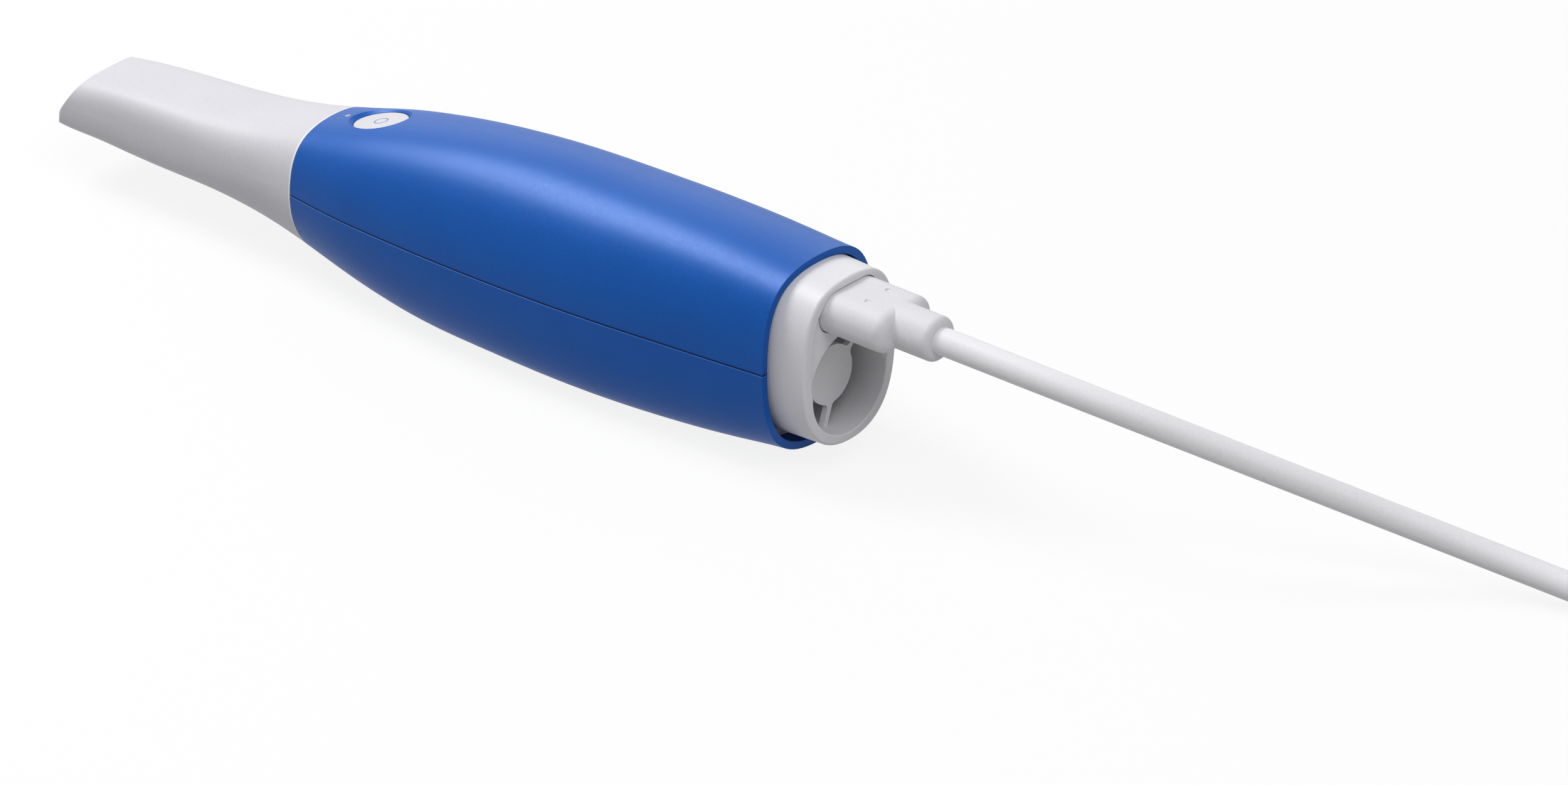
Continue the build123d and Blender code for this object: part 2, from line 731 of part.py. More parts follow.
def cap_form(gain):
    """The collar's section at the rear rim, wider by gain all round."""
    return Section(1, CAP_WIDTH + 2 * gain, CAP_TOP + gain, CAP_BOTTOM - gain, CAP_CROWN, CAP_KEEL)


def cap_collar(start, end, inset=0.0):
    """The collar's tapered form between two places, drawn in by inset."""
    wires = []
    for x in (start, end):
        form = cap_form(CAP_DRAFT * (X_CAP - x) / CAP_PROUD)
        wires.append(section_wire(X_REAR, form, inset).moved(Pos(x - X_REAR, 0, 0)))
    return Solid.make_loft(wires, ruled=True)


def plug_bar(start, end, grow=0.0):
    """The plug's rounded block between two places, wider by grow all round."""
    face = facing_rear(start, 0, PLUG_HEIGHT) * RectangleRounded(
        PLUG_WIDTH + 2 * grow, PLUG_DEPTH + 2 * grow, PLUG_CORNER + grow
    )
    return extrude(face, end - start)


def guard():
    """Disc in the air outlet, on spokes that reach into the duct's wall."""
    plane = facing_rear(X_CAP - GUARD_SETBACK - GUARD_THICKNESS, 0, DUCT_HEIGHT)
    reach = DUCT_RADIUS + CAP_LIP / 2
    outline = Circle(GUARD_RADIUS)
    spoke = Pos(reach, 0) * Rectangle(2 * reach, SPOKE_WIDTH)
    for angle in SPOKE_ANGLES:
        outline += Pos(SPOKE_OFFSET, 0) * Rot(0, 0, angle) * spoke & Circle(reach)
    roots = [v for v in outline.vertices() if abs(sqrt(v.X**2 + v.Y**2) - GUARD_RADIUS) < SPOKE_WIDTH / 4]
    return extrude(plane * fillet(roots, SPOKE_WIDTH), GUARD_THICKNESS)


def cap_mouth():
    """Shallow recess round the plug and the air outlet. Its foot lies within the outlet."""
    foot = DUCT_HEIGHT - DUCT_RADIUS + MOUTH_FOOT
    form = Section(1, CAP_WIDTH - 2 * MOUTH_SIDE, CAP_TOP - CAP_LIP, foot, CAP_CROWN, MOUTH_KEEL)
    wire = section_wire(X_REAR, form).moved(Pos(CAP_PROUD - CAP_LIP_DEPTH, 0, 0))
    return extrude(Face(wire), CAP_LIP_DEPTH + CAP_ROUND, dir=(1, 0, 0))


def rear_cap():
    inner = X_REAR - CAP_INSIDE
    collar = cap_collar(inner, X_CAP)
    rim = collar.faces().sort_by(Axis.X)[-1].edges()
    duct = rod(inner, 0, DUCT_HEIGHT, DUCT_RADIUS, CAP_INSIDE + CAP_PROUD)
    collar = fillet(rim, CAP_ROUND) - cap_mouth() - duct
    lip = collar.faces().sort_by(Axis.X)[-1]
    collar = fillet(lip.inner_wires()[0].edges(), LIP_ROUND)
    flange = skin_between(inner, inner + CAP_FLANGE, HOUSING_WALL + FIT_GAP)
    cap = collar + (flange - duct)
    cap -= plug_bar(POCKET_X, X_CAP, PLUG_GAP)
    cap -= slot_bar(SOCKET_X, POCKET_X, SHELL_WIDTH + 2 * PLUG_GAP, SHELL_DEPTH + 2 * PLUG_GAP)
    room_low = BOARD_LOW - FIT_GAP
    room_high = BOARD_TOP + SOCKET_HEIGHT + FIT_GAP
    cap -= block(inner, SOCKET_X, BOARD_TAIL_WIDTH + 2 * FIT_GAP, room_low, room_high)
    cap += guard()
    for y, z in FAN_CORNERS:
        cap -= rod(inner, y, DUCT_HEIGHT + z, SCREW_RADIUS + RUNNING_GAP, SCREW_BITE)
    return first_solid(cap)


# Fan

FAN_SIZE = 2 * (FAN_BORE_RADIUS + FAN_RIM)
FAN_SCREW_SPREAD = FAN_SIZE / 2 - FAN_SCREW_INSET
FAN_CORNERS = [(y * FAN_SCREW_SPREAD, z * FAN_SCREW_SPREAD) for y in (-1, 1) for z in (-1, 1)]
HUB_START = FAN_FRONT + FAN_MOTOR_DEPTH + SLIDE_GAP
HUB_END = X_REAR - CAP_INSIDE - SLIDE_GAP


def fan_frame():
    plane = facing_rear(FAN_FRONT, 0, DUCT_HEIGHT)
    frame = extrude(plane * (Rectangle(FAN_SIZE, FAN_SIZE) - Circle(FAN_BORE_RADIUS)), FAN_DEPTH)
    frame &= skin(HOUSING_WALL + FIT_GAP)
    spider = Circle(FAN_HUB_RADIUS)
    for angle in (45, 135):
        spider += Rot(0, 0, angle) * Rectangle(2 * FAN_BORE_RADIUS + FAN_STRUT, FAN_STRUT)
    frame += extrude(plane * spider, FAN_MOTOR_DEPTH)
    frame += rod(FAN_FRONT, 0, DUCT_HEIGHT, FAN_SHAFT_RADIUS, FAN_DEPTH - SLIDE_GAP - FAN_MOTOR_DEPTH)
    for y, z in FAN_CORNERS:
        frame -= rod(FAN_FRONT, y, DUCT_HEIGHT + z, SCREW_RADIUS + RUNNING_GAP, FAN_DEPTH)
    return frame


def fan_blade():
    """One blade standing up from the hub, pitched steeply at its root and less at its end."""
    middle = (HUB_START + HUB_END) / 2
    root = (FAN_HUB_RADIUS / 2, FAN_ROOT_PITCH)
    end = (FAN_BORE_RADIUS - FAN_BLADE_GAP, FAN_TIP_PITCH)
    wires = []
    for radius, pitch in (root, end):
        plane = Plane(origin=(middle, 0, DUCT_HEIGHT + radius), x_dir=(1, 0, 0), z_dir=(0, 0, 1))
        wires.append((plane * Rot(0, 0, pitch) * Rectangle(FAN_BLADE_CHORD, FAN_BLADE_THICKNESS)).wire())
    return Solid.make_loft(wires, ruled=True) & slab(HUB_START, HUB_END)


def fan_rotor():
    hub = rod(HUB_START, 0, DUCT_HEIGHT, FAN_HUB_RADIUS, HUB_END - HUB_START)
    axis = Axis((0, 0, DUCT_HEIGHT), (1, 0, 0))
    blade = fan_blade()
    for n in range(FAN_BLADE_COUNT):
        hub += blade.rotate(axis, 360 / FAN_BLADE_COUNT * n)
    bore_depth = FAN_DEPTH - 2 * FAN_MOTOR_DEPTH
    return hub - rod(HUB_START, 0, DUCT_HEIGHT, FAN_SHAFT_RADIUS + RUNNING_GAP, bore_depth)


def fan_screws():
    return Compound(
        [
            rod(FAN_FRONT - SCREW_HEAD_HEIGHT, y, DUCT_HEIGHT + z, SCREW_HEAD_RADIUS, SCREW_HEAD_HEIGHT)
            + rod(FAN_FRONT, y, DUCT_HEIGHT + z, SCREW_RADIUS, FAN_DEPTH + SCREW_BITE - FIT_GAP)
            for y, z in FAN_CORNERS
        ]
    )


# Lead

PLUG_X = POCKET_X + PLUG_GAP
PLUG_END = X_CAP + PLUG_LENGTH
LEAD_START = PLUG_END + BARREL_LENGTH


def plug_body(start, end):
    """Rounded block with a round strain relief behind it and two dimples on top, along +X."""
    body = plug_bar(start, end)
    body = fillet(body.faces().sort_by(Axis.X)[-1].edges(), PLUG_ROUND)
    relief = rod(end - PLUG_ROUND, 0, PLUG_HEIGHT, BARREL_RADIUS, BARREL_LENGTH + PLUG_ROUND)
    relief = fillet(relief.edges().filter_by(GeomType.CIRCLE).sort_by(Axis.X)[-1], BARREL_ROUND)
    body += relief
    top = PLUG_HEIGHT + PLUG_DEPTH / 2
    for y in (-PLUG_DIMPLE_SPREAD, PLUG_DIMPLE_SPREAD):
        body -= Pos(end - PLUG_DIMPLE_SETBACK, y, top + PLUG_DIMPLE_RADIUS / 3) * Sphere(PLUG_DIMPLE_RADIUS)
    return body


def plug_shell(end):
    start = end - SHELL_LENGTH
    tube = slot_bar(start, end, SHELL_WIDTH, SHELL_DEPTH)
    return tube - slot_bar(start, end, SHELL_WIDTH - 2 * SHELL_WALL, SHELL_DEPTH - 2 * SHELL_WALL)


LEAD_DROP = PLUG_HEIGHT - CABLE_RADIUS
LEAD_POINTS = [
    Vector(LEAD_START + along, LEAD_SWAY * fall * LEAD_DROP, PLUG_HEIGHT - fall * LEAD_DROP)
    for along, fall in LEAD_RUNS
]
COIL_X = LEAD_POINTS[-1].X
COIL_Y = LEAD_POINTS[-1].Y - COIL_OUTER
UPPER_LAYER = TIE_THICKNESS + CABLE_RADIUS + COIL_PITCH
COIL_HEIGHT = UPPER_LAYER + CABLE_RADIUS
TAIL_CLIMB = COIL_HEIGHT + BARREL_RADIUS - UPPER_LAYER
TAIL_POINTS = [Vector(COIL_X + x, COIL_Y + y, UPPER_LAYER + share * TAIL_CLIMB) for x, y, share in TAIL_RUNS]


def tube_along(points):
    """Cable through the given points, its bends as wide as the runs beside them allow."""
    radii = []
    for before, here, after in zip(points, points[1:], points[2:]):
        turn = radians((here - before).get_angle(after - here))
        radii.append(BEND_SHARE * min((here - before).length, (after - here).length) / tan(turn / 2))
    print("bend radii", [round(radius) for radius in radii])
    path = FilletPolyline(*points, radius=radii)
    return sweep(Plane(points[0], z_dir=points[1] - points[0]) * Circle(CABLE_RADIUS), path=path)


@lru_cache(maxsize=None)
def cable_coil():
    """Outer shape of two layers of turns, lying on their tie."""
    outer = COIL_OUTER + CABLE_RADIUS
    inner = COIL_OUTER - COIL_PITCH * COIL_TURNS - CABLE_RADIUS
    ring = extrude(Plane((COIL_X, COIL_Y, 0)) * (Circle(outer) - Circle(inner)), COIL_HEIGHT)
    return fillet(ring.edges().filter_by(GeomType.CIRCLE), COIL_EDGE)


def cable_lead():
    return first_solid(tube_along(LEAD_POINTS) - cable_coil())


def cable_tail():
    return first_solid(tube_along(TAIL_POINTS) - cable_coil() - hub_plug())


def at_hub(shape):
    """A plug made at the scanner, moved to the end of the tail."""
    return Pos(TAIL_POINTS[-1]) * Pos(-LEAD_START, 0, -PLUG_HEIGHT) * shape


HUB_PLUG_START = PLUG_END - HUB_PLUG_LENGTH


def hub_plug():
    return at_hub(plug_body(HUB_PLUG_START, PLUG_END))


PARTS = {
    "tip_sleeve": tip_sleeve,
    "tip_mirror": tip_mirror,
    "nose": nose,
    "nose_window": nose_window,
    "nose_seal": lambda: seal_ring(SEAL_DEPTH, SLIDE_GAP - SEAL_GAP),
    "upper_housing": upper_housing,
    "lower_housing": lower_housing,
    "scan_button": scan_button,
    "switch_plunger": switch_plunger,
    "button_switch": button_switch,
    "button_board": button_board,
    "status_light": status_light,
    "optics_frame": optics_frame,
    "projector_barrel": lambda: barrel(0, PROJECTOR_Z, PROJECTOR_RADIUS, PROJECTOR_LENGTH),
    "projector_lens": lambda: lens(0, PROJECTOR_Z, PROJECTOR_RADIUS),
    "pattern_slide": pattern_slide,
    "led_dome": led_dome,
    "led_board": led_board,
    "heat_sink": heat_sink,
    "frame_screws": frame_screws,
    "main_board": main_board,
    "processor": processor,
    "board_screws": board_screws,
    "usb_socket": usb_socket,
    "rear_cap": rear_cap,
    "fan_frame": fan_frame,
    "fan_rotor": fan_rotor,
    "fan_screws": fan_screws,
    "plug_overmould": lambda: plug_body(PLUG_X, PLUG_END),
    "plug_shell": lambda: plug_shell(PLUG_X),
    "cable_lead": cable_lead,
    "cable_coil": cable_coil,
    "cable_tail": cable_tail,
    "hub_plug": hub_plug,
    "hub_plug_shell": lambda: at_hub(plug_shell(HUB_PLUG_START)),
}
for side, offset in CAMERA_SIDES.items():
    PARTS[f"{side}_camera_barrel"] = lambda y=offset: barrel(y, CAMERA_Z, CAMERA_RADIUS, CAMERA_LENGTH)
    PARTS[f"{side}_camera_lens"] = lambda y=offset: lens(y, CAMERA_Z, CAMERA_RADIUS)
    PARTS[f"{side}_sensor_board"] = lambda y=offset: sensor_board(y)

os.makedirs("parts", exist_ok=True)
for name, make in PARTS.items():
    shape = make()
    export_step(shape, f"parts/{name}.step")
    box = shape.bounding_box()
    print(name, round(shape.volume), [round(v, 2) for v in (*box.min, *box.max)])
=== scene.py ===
# %% [markdown]
# # A hand-held intraoral scanner
#
# A dentist holds this scanner like a thick pen and moves its grey tip along the teeth.
# The CAD model gives every moulded piece its exact shape, so this lesson does not model it again.
# It loads that model as a fixed frame, lays the soft lead, and gives each piece its finish.
# Drawing the shells again in Blender would also work, but then two shapes must be kept the same.

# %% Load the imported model
import math

import bpy
import numpy as np
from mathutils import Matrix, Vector


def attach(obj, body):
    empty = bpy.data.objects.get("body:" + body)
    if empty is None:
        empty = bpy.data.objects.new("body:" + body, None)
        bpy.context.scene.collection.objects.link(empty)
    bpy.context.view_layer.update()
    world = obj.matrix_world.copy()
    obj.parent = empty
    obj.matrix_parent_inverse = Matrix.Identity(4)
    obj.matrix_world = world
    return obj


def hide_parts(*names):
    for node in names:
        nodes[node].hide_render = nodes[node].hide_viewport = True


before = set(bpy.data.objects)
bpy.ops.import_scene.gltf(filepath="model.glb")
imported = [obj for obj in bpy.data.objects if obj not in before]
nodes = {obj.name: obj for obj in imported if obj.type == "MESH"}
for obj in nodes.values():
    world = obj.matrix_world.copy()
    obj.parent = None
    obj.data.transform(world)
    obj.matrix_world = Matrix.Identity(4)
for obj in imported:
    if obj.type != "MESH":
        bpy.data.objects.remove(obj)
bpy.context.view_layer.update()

MM = 0.001

# %% [markdown]
# ## The camera
#
# The photograph was taken from far away with a long lens: edges that are parallel on the scanner
# stay parallel in the picture. A camera can copy that with an orthographic lens, or with a very
# long one. The long lens is used here, because it still has a place to stand, seven metres off.
# The sideways angle and the height were read from the slope of the scanner and of its rear rim.

# %% Place the camera
VIEW_TURN = math.radians(40.59)
VIEW_RISE = math.radians(27.53)
VIEW_TARGET = Vector((0.09234, 0.0, 0.01179))
VIEW_WIDTH = 0.3413
LENS_MM = 800.0
SENSOR_MM = 36.0

towards_camera = Vector((
    math.sin(VIEW_TURN) * math.cos(VIEW_RISE),
    -math.cos(VIEW_TURN) * math.cos(VIEW_RISE),
    math.sin(VIEW_RISE),
))
camera_data = bpy.data.cameras.new("studio_camera")
camera_data.lens = LENS_MM
camera_data.sensor_width = SENSOR_MM
camera_data.sensor_fit = "HORIZONTAL"
camera = bpy.data.objects.new("studio_camera", camera_data)
camera.location = VIEW_TARGET + towards_camera * (VIEW_WIDTH * LENS_MM / SENSOR_MM)
camera.rotation_euler = towards_camera.to_track_quat("Z", "Y").to_euler()
bpy.context.scene.collection.objects.link(camera)
bpy.context.scene.camera = camera
print("camera stands at", [round(v, 3) for v in camera.location])

# %% [markdown]
# ## The lead
#
# The lead is a soft round cable of two metres. It leaves the plug straight, sinks to the table
# and runs out of the picture, where the rest is put away as a tied coil in two layers.
# A swept mesh would need its bends rounded by hand. One NURBS curve does that by itself:
# it pulls its line smoothly between control points, so a handful of points is a whole route.
# The coil is more points of the same curve: the outer layer winds inwards on the table,
# one turn climbs, and the upper layer winds outwards again to the hub plug.

# %% Set out the route of the lead
CABLE_RADIUS = 3.2 * MM
TIE_THICKNESS = 0.7 * MM
LEAD_ROUTE = [
    (0.13725, 0.0, 0.0397),
    (0.17125, 0.0, 0.0397),
    (0.20925, 0.02056, 0.02583),
    (0.24725, 0.04436, 0.00977),
    (0.28425, 0.05409, 0.0032),
    (0.39125, 0.05409, 0.0032),
]
TAIL_ROUTE = [
    (0.43465, -0.01821, 0.01219),
    (0.42125, -0.03211, 0.01768),
    (0.39925, -0.03511, 0.01895),
]
COIL_CENTRE = (0.39125, 0.00489)
COIL_OUTER = 49.2 * MM
COIL_PITCH = 6.6 * MM
COIL_TURNS = 3.14
POINTS_PER_TURN = 24
coil_inner = COIL_OUTER - COIL_PITCH * COIL_TURNS
coil_low = CABLE_RADIUS + TIE_THICKNESS


def coil_route():
    """Points of the coil. A turn number t runs evenly along it, clockwise from the lead's end.

    In the lower layer the radius falls by one pitch a turn. In the climbing turn the radius and
    the height follow a quarter circle of one pitch. In the upper layer the radius grows again.
    A quadratic curve runs a little inside its control points, so all radii grow by that share.
    """
    count = round((2 * COIL_TURNS + 1) * POINTS_PER_TURN)
    turn = np.arange(1, count + 1) / POINTS_PER_TURN
    climb = np.clip(turn - COIL_TURNS, 0, 1)
    upper = np.clip(turn - COIL_TURNS - 1, 0, None)
    lower = np.minimum(turn, COIL_TURNS)
    swing = COIL_PITCH * (1 - climb - np.cos(climb * math.pi / 2)) * (climb > 0) * (climb < 1)
    radius = COIL_OUTER - COIL_PITCH * lower + swing + COIL_PITCH * upper
    radius = radius / (0.75 + 0.25 * math.cos(2 * math.pi / POINTS_PER_TURN))
    angle = math.pi / 2 - 2 * math.pi * turn
    height = coil_low + COIL_PITCH * np.sin(climb * math.pi / 2)
    return np.stack([
        COIL_CENTRE[0] + radius * np.cos(angle),
        COIL_CENTRE[1] + radius * np.sin(angle),
        height,
    ], axis=-1)


route = np.concatenate([LEAD_ROUTE, coil_route(), TAIL_ROUTE])
print("lead route has", len(route), "control points")

# %% Draw the lead as one curve
cable_curve = bpy.data.curves.new("lead_cable", "CURVE")
cable_curve.dimensions = "3D"
spline = cable_curve.splines.new("NURBS")
spline.points.add(len(route) - 1)
spline.points.foreach_set("co", np.concatenate([route, np.ones((len(route), 1))], axis=1).ravel())
spline.points.foreach_set("radius", np.full(len(route), CABLE_RADIUS))
spline.order_u = 3
spline.use_endpoint_u = True
spline.resolution_u = 5
cable = bpy.data.objects.new("lead_cable", cable_curve)
bpy.context.scene.collection.objects.link(cable)

centreline = bpy.data.meshes.new_from_object(cable)
line = np.empty(len(centreline.vertices) * 3)
centreline.vertices.foreach_get("co", line)
bpy.data.meshes.remove(centreline)
cable_curve.bevel_depth = 1.0
cable_curve.bevel_resolution = 6
cable_curve.use_fill_caps = True

# %% [markdown]
# ## The tie of the coil
#
# A hook-and-loop tie keeps the coil together: a flat band that goes once round the bundle and
# laps over itself on top. A torus would be too round and a bent plane would have no thickness.
# So a small flat section is carried along a loop of four corner arcs and the runs between them.

# %% Make surfaces from grids of points


def piece_from_grid(name, points, close_rows=False, close_columns=False):
    """Mesh object over a grid of points: each four neighbours make one face, facing outwards."""
    rows, columns = points.shape[:2]
    row = np.arange(rows if close_rows else rows - 1)[:, None]
    column = np.arange(columns if close_columns else columns - 1)[None, :]
    next_row = (row + 1) % rows
    next_column = (column + 1) % columns
    corners = [row * columns + column, row * columns + next_column,
               next_row * columns + next_column, next_row * columns + column]
    faces = np.stack(corners, axis=-1).reshape(-1, 4)
    flat = points.reshape(-1, 3)
    a, b, c, d = (flat[faces[:, n]] for n in range(4))
    if np.einsum("ij,ij->i", a + c, np.cross(c - a, d - b)).sum() < 0:
        faces = faces[:, ::-1]
    mesh = bpy.data.meshes.new(name)
    mesh.from_pydata(flat.tolist(), [], faces.tolist())
    mesh.shade_smooth()
    piece = bpy.data.objects.new(name, mesh)
    bpy.context.scene.collection.objects.link(piece)
    print(name, "has", len(faces), "faces")
    return piece


# %% Wrap the tie round the bundle
TIE_WIDTH = 9.0 * MM
TIE_ANGLE = math.radians(160)
TIE_STEPS = 120
CORNER_STEPS = 16
TIE_LAP = (0.12, 0.30)


def tie_loop(steps):
    """Places along the loop as (radius, height) and their outward normals.

    The loop is four quarter circles of the cable's radius, joined by straight runs, and the
    places are spread evenly over its length.
    """
    grow = CABLE_RADIUS + TIE_THICKNESS / 2
    turn = np.linspace(0, 2 * math.pi, 4 * CORNER_STEPS + 1)
    quarter = np.minimum((turn / (math.pi / 2)).astype(int), 3)
    middle = (COIL_OUTER + coil_inner) / 2
    half = (COIL_OUTER - coil_inner) / 2
    across = np.array([1, -1, -1, 1])[quarter] * half
    lift = np.array([1, 1, 0, 0])[quarter] * COIL_PITCH
    corner = np.stack([
        middle + across + grow * np.cos(turn),
        coil_low + lift + grow * np.sin(turn),
    ], axis=-1)
    corner[-1] = corner[0]
    along = np.concatenate([[0], np.cumsum(np.linalg.norm(np.diff(corner, axis=0), axis=1))])
    share = np.arange(steps) / steps * along[-1]
    place = np.stack([np.interp(share, along, corner[:, n]) for n in range(2)], axis=-1)
    ahead = np.roll(place, -1, axis=0) - np.roll(place, 1, axis=0)
    normal = np.stack([ahead[:, 1], -ahead[:, 0]], axis=-1)
    return place, normal / np.linalg.norm(normal, axis=1, keepdims=True)


def tie_points():
    """Flat section with eased edges, carried along the loop, and twice as thick where it laps."""
    place, normal = tie_loop(TIE_STEPS)
    share = np.arange(TIE_STEPS) / TIE_STEPS
    lapped = (share > TIE_LAP[0]) & (share < TIE_LAP[1])
    side = np.array([-1, -0.96, 0.96, 1, 1, 0.96, -0.96, -1]) * TIE_WIDTH / 2
    depth = np.array([-0.3, -0.5, -0.5, -0.3, 0.3, 0.5, 0.5, 0.3]) * TIE_THICKNESS
    depth = depth[None, :] + np.where(lapped[:, None] & (depth > 0)[None, :], TIE_THICKNESS, 0)
    spot = place[:, None, :] + normal[:, None, :] * depth[..., None]
    out = np.array([math.cos(TIE_ANGLE), math.sin(TIE_ANGLE)])
    along = np.array([-math.sin(TIE_ANGLE), math.cos(TIE_ANGLE)])
    flat = np.array(COIL_CENTRE) + spot[..., :1] * out + (side[:, None] * along)[None]
    return np.concatenate([flat, spot[..., 1:]], axis=-1)


coil_tie = piece_from_grid("coil_tie", tie_points(), close_rows=True, close_columns=True)

# %% Group the lead under its body and hide the CAD lead
for piece in (cable, coil_tie):
    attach(piece, "lead")
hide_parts("cable_lead", "cable_coil", "cable_tail")

# %% [markdown]
# ## The ring on the button
#
# A thin blue ring is printed on the button, so that the eye finds it. It is raised by no more
# than the thickness of the ink, and catches the light like a real print. It could be a colour in
# the button's material, but a ring of its own stays sharp at any distance.

# %% Print a ring on the button
BUTTON_CENTRE = np.array([-0.02395, 0.0, 0.0395])
BUTTON_SLOPE = math.radians(15.5)
RING_RADIUS = 1.5 * MM
RING_WIDTH = 0.36 * MM
RING_STEPS = 72
SECTION_STEPS = 12
INK = 0.03 * MM


def ring_points():
    """A flat lens-shaped section carried round a circle in the plane of the button's face."""
    around = np.linspace(0, 2 * math.pi, RING_STEPS, endpoint=False)[:, None]
    section = np.linspace(0, 2 * math.pi, SECTION_STEPS, endpoint=False)[None, :]
    radius = RING_RADIUS + RING_WIDTH / 2 * np.cos(section)
    height = INK * np.sin(section)
    along, across = radius * np.cos(around), radius * np.sin(around)
    up = np.broadcast_to(height, along.shape)
    slope = np.array([math.cos(BUTTON_SLOPE), 0, math.sin(BUTTON_SLOPE)])
    normal = np.array([-math.sin(BUTTON_SLOPE), 0, math.cos(BUTTON_SLOPE)])
    sideways = np.array([0, 1, 0])
    spread = along[..., None] * slope + across[..., None] * sideways
    return BUTTON_CENTRE + spread + up[..., None] * normal


button_ring = piece_from_grid("button_ring", ring_points(), close_rows=True, close_columns=True)
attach(button_ring, "button")

# %% [markdown]
# ## Tools for the finishes
#
# Every finish below is a small tree of nodes. A few helpers keep them short: one turns the hex
# colours that a designer would write into Blender's linear light, one adds a node, sets it and
# links it, one starts a finish, and one puts it on its pieces. All patterns read Object
# coordinates, which are metres on the scanner, so a grain of 0.4 mm is simply a noise of 2500 to
# the metre.

# %% Helpers for colour and nodes


def linear(code):
    """Hex colour as linear light: a straight foot for dark values and a 2.4 power above it."""
    value = np.array([int(code[n:n + 2], 16) for n in (1, 3, 5)]) / 255
    value = np.where(value <= 0.04045, value / 12.92, ((value + 0.055) / 1.055) ** 2.4)
    return (*value.tolist(), 1.0)


def add(tree, kind, inputs=None, **settings):
    """Add a node to a tree, set its options, and fill its inputs with values or with links."""
    node = tree.nodes.new(kind)
    for name, value in settings.items():
        setattr(node, name, value)
    for name, value in (inputs or {}).items():
        if isinstance(value, bpy.types.NodeSocket):
            tree.links.new(value, node.inputs[name])
        else:
            node.inputs[name].default_value = value
    return node


def new_finish(name, **sockets):
    """Material with one principled shader, whose plain sockets are set by name."""
    material = bpy.data.materials.new(name)
    material.use_nodes = True
    shader = material.node_tree.nodes["Principled BSDF"]
    for socket, value in sockets.items():
        shader.inputs[socket.replace("_", " ")].default_value = value
    return material, material.node_tree, shader


def per_metre(size_mm):
    """Noise scale whose features are about this many millimetres apart."""
    return 1.0 / (size_mm * MM)


def dress(material, *names):
    """Put a finish on CAD nodes or on pieces, in place of what they had."""
    for name in names:
        piece = nodes[name] if isinstance(name, str) else name
        piece.data.materials.clear()
        piece.data.materials.append(material)
    print(material.name, "on", len(names), "pieces")


print("half of a screen's white is", round(linear("#808080")[0], 3), "in linear light")

# %% [markdown]
# ## Moulded plastics of the outside
#
# The shells are moulded in steel tools whose faces were etched to a fine satin, and the blue ones
# are lacquered afterwards. Up close that gives three things: a grain that is just visible, a
# highlight with soft edges, and a colour that shifts slightly from grain to grain. One function
# makes that grain for each plastic and for the lacquer, with another pigment each time.

# %% Places, links and ramps


def object_place(tree):
    """Coordinates of the shaded point, in metres on the scanner."""
    return add(tree, "ShaderNodeTexCoord").outputs["Object"]


def feed(tree, shader, **outputs):
    """Link outputs to a shader's inputs, whose names are written with _ for a space."""
    for socket, output in outputs.items():
        tree.links.new(output, shader.inputs[socket.replace("_", " ")])


def ramp(tree, value, *stops):
    """Ramp of colours over a value, from stops of a position and a colour in rising order."""
    node = add(tree, "ShaderNodeValToRGB", {"Fac": value})
    elements = node.color_ramp.elements
    for element, (position, colour) in zip(elements, (stops[0], stops[-1])):
        element.position, element.color = position, colour
    for position, colour in stops[1:-1]:
        elements.new(position).color = colour
    return node


# %% Etched grain
# A noise seldom leaves the middle of its range, so only that part is spread over colour and gloss.
TINT_FROM, TINT_TO = 0.34, 0.66
GLOSS_FROM, GLOSS_TO = 0.3, 0.7
ROUGH_SWING = 0.05
FLOW_MM = 14.0
FLOW_SHARE = 0.3


def etched_grain(tree, shader, pale, deep, grain_mm, rough, depth_mm):
    """Grain of an etched tool: a fine noise tints the colour, dulls the gloss and lifts the skin.

    A second, slower noise of some millimetres stands for the uneven flow of the plastic.
    """
    place = object_place(tree)
    grain = add(tree, "ShaderNodeTexNoise", {
        "Vector": place, "Scale": per_metre(grain_mm), "Detail": 2.0,
    }).outputs["Fac"]
    flow = add(tree, "ShaderNodeTexNoise", {
        "Vector": place, "Scale": per_metre(FLOW_MM), "Detail": 1.0,
    }).outputs["Fac"]
    both = add(tree, "ShaderNodeMix", {"Factor": FLOW_SHARE, "A": grain, "B": flow})
    tint = ramp(tree, both.outputs["Result"], (TINT_FROM, linear(deep)), (TINT_TO, linear(pale)))
    gloss = add(tree, "ShaderNodeMapRange", {
        "Value": grain, "From Min": GLOSS_FROM, "From Max": GLOSS_TO,
        "To Min": rough - ROUGH_SWING, "To Max": rough + ROUGH_SWING,
    })
    lift = add(tree, "ShaderNodeBump", {
        "Height": grain, "Strength": 0.5, "Distance": depth_mm * MM,
    })
    feed(tree, shader, Base_Color=tint.outputs["Color"], Roughness=gloss.outputs["Result"],
         Normal=lift.outputs["Normal"])
    print("grain of", grain_mm, "mm")


# %% Blue lacquer of the housings
# Moulded ABS under a blue lacquer that holds fine aluminium flakes. The pigment gives the deep
# blue of the shaded side, the flakes a wide sheen on the shoulder, and the clear top of the
# lacquer a paler core in it. The flakes are about 0.1 mm and would vanish in the picture, so
# their grain is drawn at 0.5 mm.
blue_lacquer, tree, shader = new_finish(
    "blue_flake_lacquer_on_abs", IOR=1.53, Specular_IOR_Level=0.14, Specular_Tint=linear("#D2E9FF"),
    Metallic=0.05, Coat_Weight=0.1, Coat_Roughness=0.34)
etched_grain(tree, shader, "#0A56AD", "#0750A5", grain_mm=0.5, rough=0.45, depth_mm=0.012)
